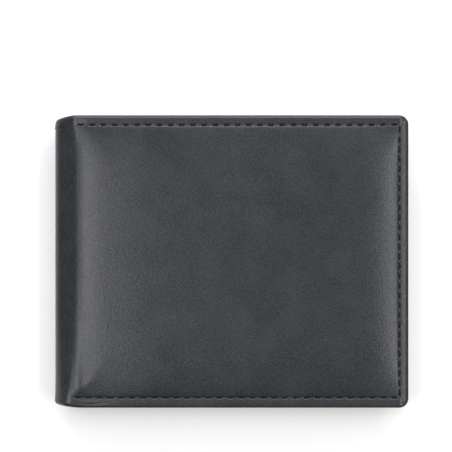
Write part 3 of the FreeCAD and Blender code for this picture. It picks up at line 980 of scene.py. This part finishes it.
for half in HALVES:
    cover(half, outer_leather)
    foam_pad(half, foam)
    cover_lining(half, lining)
    banknote_wall(half, lining)
    base_panel(half, inner_leather)
    for pocket_order in range(len(POCKET_NAMES)):
        card_pocket(half, pocket_order, inner_leather)
    cover_thread(half, black_thread)
    inner_thread(half, black_thread)
    board_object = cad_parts[f"{half}_cover_board"]
    board_object.data.materials.clear()
    board_object.data.materials.append(board)


# Floor, light and camera

FLOOR_SIZE = 8.0
CAMERA_HEIGHT = 1.1
VIEW_WIDTH = 0.1468
SENSOR = 36.0
COVER_FACE = mm(16)

# The middle of the photograph seen from the wallet's middle, in its pixels
PHOTO_WIDTH = 452
PHOTO_SHIFT = (-5.4, 35.5)


def floor():
    """A plain white floor under the wallet."""
    bm = bmesh.new()
    bmesh.ops.create_grid(bm, x_segments=8, y_segments=8, size=FLOOR_SIZE / 2)
    mesh = bpy.data.meshes.new("floor")
    bm.to_mesh(mesh)
    bm.free()
    mesh.materials.append(paper_sweep())
    plane = bpy.data.objects.new("floor", mesh)
    bpy.context.scene.collection.objects.link(plane)


def softbox(name, tilt_x, tilt_y, distance, width, depth, power):
    """A soft lamp that looks at the wallet, tilted from straight above by two angles in degrees."""
    lamp = bpy.data.lights.new(name, "AREA")
    lamp.shape = "RECTANGLE"
    lamp.size, lamp.size_y, lamp.energy = width, depth, power
    holder = bpy.data.objects.new(name, lamp)
    direction = Vector((math.tan(math.radians(tilt_x)), math.tan(math.radians(tilt_y)), 1)).normalized()
    holder.location = Vector((0, 0, MIDDLE_Z)) + direction * distance
    across = Vector((0, 1, 0)).cross(direction).normalized()
    turned = Matrix((across, direction.cross(across), direction)).transposed()
    holder.rotation_euler = turned.to_euler()
    bpy.context.scene.collection.objects.link(holder)


def studio_world():
    """Plain studio surroundings, brighter towards the top of the photograph, and white where looked at."""
    world = bpy.data.worlds.new("plain studio")
    bpy.context.scene.world = world
    world.use_nodes = True
    tree = world.node_tree
    tree.nodes.clear()
    paths = add_node(tree, "ShaderNodeLightPath")
    looked_at = add_node(
        tree, "ShaderNodeMath", None,
        {0: paths.outputs["Is Camera Ray"], 1: paths.outputs["Is Transmission Ray"]}, operation="MAXIMUM",
    ).outputs["Value"]
    direction = add_node(tree, "ShaderNodeTexCoord").outputs["Generated"]
    parts = add_node(tree, "ShaderNodeSeparateXYZ", None, {"Vector": direction})

    def ramp(axis, start, end, first, last):
        return add_node(
            tree, "ShaderNodeMapRange",
            {"From Min": start, "From Max": end, "To Min": first, "To Max": last},
            {"Value": parts.outputs[axis]},
        ).outputs["Result"]

    soft = ramp("Y", -0.6, 0.8, 0.25, 1.2)
    mirrored = ramp("Y", -0.1, 0.6, 0.1, 0.9)
    horizon = ramp("Z", 0.02, 0.12, 1.0, 0.0)
    ceiling = ramp("Z", 0.8, 0.97, 0.0, 0.3)
    mirrored = add_node(
        tree, "ShaderNodeMath", None, {0: mirrored, 1: ceiling}, operation="ADD"
    ).outputs["Value"]
    mirrored = add_node(
        tree, "ShaderNodeMath", None, {0: mirrored, 1: horizon}, operation="MAXIMUM"
    ).outputs["Value"]
    lit = add_node(
        tree, "ShaderNodeMix", None, {0: paths.outputs["Is Glossy Ray"], 2: soft, 3: mirrored}
    ).outputs[0]
    strength = add_node(tree, "ShaderNodeMix", {3: 1.0}, {0: looked_at, 2: lit}).outputs[0]
    light = add_node(tree, "ShaderNodeBackground", None, {"Strength": strength})
    add_node(tree, "ShaderNodeOutputWorld", None, {"Surface": light.outputs["Background"]})


floor()
studio_world()
# Tilt along X and along Y in degrees, distance, width and depth in metres, power in watts
softbox("top softbox", 0, 55, 1.2, 1.2, 0.35, 8.5)
softbox("left softbox", -19, -2, 1.0, 0.2, 0.5, 2.65)
softbox("right softbox", 28.5, -2, 1.0, 0.19, 0.9, 4.05)

lens = bpy.data.cameras.new("camera")
lens.sensor_width = SENSOR
lens.lens = SENSOR * CAMERA_HEIGHT / VIEW_WIDTH
lens.shift_x, lens.shift_y = (pixels / PHOTO_WIDTH for pixels in PHOTO_SHIFT)
camera = bpy.data.objects.new("camera", lens)
camera.location = (0, 0, CAMERA_HEIGHT + COVER_FACE)
bpy.context.scene.collection.objects.link(camera)
bpy.context.scene.camera = camera
bpy.context.scene.view_settings.view_transform = "Standard"
